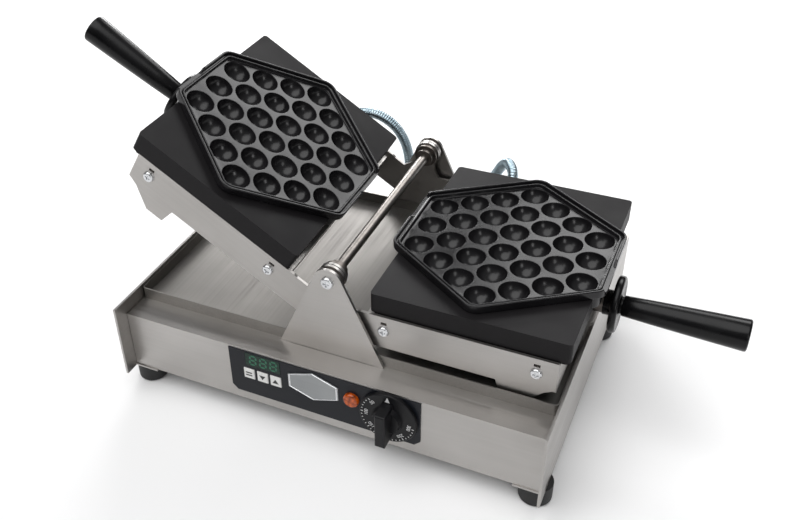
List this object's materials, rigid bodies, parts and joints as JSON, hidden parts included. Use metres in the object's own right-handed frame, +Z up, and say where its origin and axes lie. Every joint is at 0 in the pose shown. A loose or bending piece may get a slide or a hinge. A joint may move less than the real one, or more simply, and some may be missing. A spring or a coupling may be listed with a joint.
{
  "type": "turn-over bubble waffle iron",
  "caption": "Hinged turn-over iron with two hexagonal bubble plates on heated holders, stainless base with crumb tray, timer keys and thermostat dial.",
  "frame": {"origin": "on the table plane, below the middle of the axle between the two holders", "axes": "+X to the right along the base, +Y back along the axle, +Z up"},
  "size_m": [0.7099, 0.3685, 0.3408],
  "materials": {
    "brushed_steel": "brushed stainless sheet",
    "tray_steel": "satin stainless sheet",
    "zinc_steel": "bright zinc plating",
    "axle_steel": "turned stainless rod",
    "dark_steel": "darkened steel",
    "rubber": "soft black rubber",
    "overlay_black": "smooth black foil",
    "display_glass": "dark tinted window",
    "key_white": "satin white",
    "badge_silver": "brushed, blank",
    "lamp_amber": "clear amber lens",
    "knob_black": "satin black",
    "housing_grey": "moulded",
    "circuit_board": "lacquered board",
    "heater_coating": "matt black coating",
    "plate_coating": "satin non-stick coating",
    "insulation": "mineral fibre",
    "handle_black": "satin phenolic",
    "hose_metal": "wound metal conduit"
  },
  "bodies": {
    "base": {"side_panel_left": "brushed_steel", "side_panel_right": "brushed_steel", "front_cover": "brushed_steel", "rear_cover": "brushed_steel", "bottom_plate": "brushed_steel", "crumb_tray": "tray_steel", "bracket_front": "brushed_steel", "bracket_rear": "brushed_steel", "bracket_rails": "zinc_steel", "bracket_bolts": "zinc_steel", "axle_rod": "axle_steel", "axle_collars": "dark_steel", "axle_spacers": "dark_steel", "axle_screws": "zinc_steel", "rubber_feet": "rubber", "control_overlay": "overlay_black", "display_window": "display_glass", "badge_plate": "badge_silver", "indicator_lamp": "lamp_amber", "thermostat_body": "housing_grey", "timer_board": "circuit_board", "terminal_block": "housing_grey", "mains_gland": "knob_black", "base_hose_glands": "zinc_steel", "left_hose": "hose_metal", "right_hose": "hose_metal"},
    "left_holder": {"left_side_plate_front": "brushed_steel", "left_side_plate_rear": "brushed_steel", "left_end_wall": "brushed_steel", "left_belly_pan": "brushed_steel", "left_heater_block": "heater_coating", "left_heating_element": "dark_steel", "left_insulation_pad": "insulation", "left_bubble_plate": "plate_coating", "left_plate_latch": "dark_steel", "left_side_screws": "zinc_steel", "left_handle_collar": "dark_steel", "left_handle_guard": "handle_black", "left_handle_grip": "handle_black", "left_hose_elbow": "zinc_steel"},
    "right_holder": {"right_side_plate_front": "brushed_steel", "right_side_plate_rear": "brushed_steel", "right_end_wall": "brushed_steel", "right_belly_pan": "brushed_steel", "right_heater_block": "heater_coating", "right_heating_element": "dark_steel", "right_insulation_pad": "insulation", "right_bubble_plate": "plate_coating", "right_plate_latch": "dark_steel", "right_side_screws": "zinc_steel", "right_handle_collar": "dark_steel", "right_handle_guard": "handle_black", "right_handle_grip": "handle_black", "right_hose_elbow": "zinc_steel"},
    "knob": {"thermostat_knob": "knob_black"},
    "key_start_body": {"key_start": "key_white"},
    "key_down_body": {"key_down": "key_white"},
    "key_up_body": {"key_up": "key_white"}
  },
  "joints": [
    {"name": "left_holder_hinge", "type": "hinge", "parent": "base", "child": "left_holder", "pos_m": [0, 0, 0.18], "axis": [0, 1, 0], "range_deg": [-31.5, 148.5], "deforming": ["left_hose"]},
    {"name": "right_holder_hinge", "type": "hinge", "parent": "base", "child": "right_holder", "pos_m": [0, 0, 0.18], "axis": [0, 1, 0], "range_deg": [-148.5, 0], "deforming": ["right_hose"]},
    {"name": "thermostat_turn", "type": "hinge", "parent": "base", "child": "knob", "pos_m": [0.0738, -0.17, 0.063], "axis": [0, 1, 0], "range_deg": [0, 300]},
    {"name": "key_start_press", "type": "slide", "parent": "base", "child": "key_start_body", "axis": [0, 1, 0], "range_m": [0, 0.0008], "stiffness_N_per_m": 400},
    {"name": "key_down_press", "type": "slide", "parent": "base", "child": "key_down_body", "axis": [0, 1, 0], "range_m": [0, 0.0008], "stiffness_N_per_m": 400},
    {"name": "key_up_press", "type": "slide", "parent": "base", "child": "key_up_body", "axis": [0, 1, 0], "range_m": [0, 0.0008], "stiffness_N_per_m": 400}
  ]
}
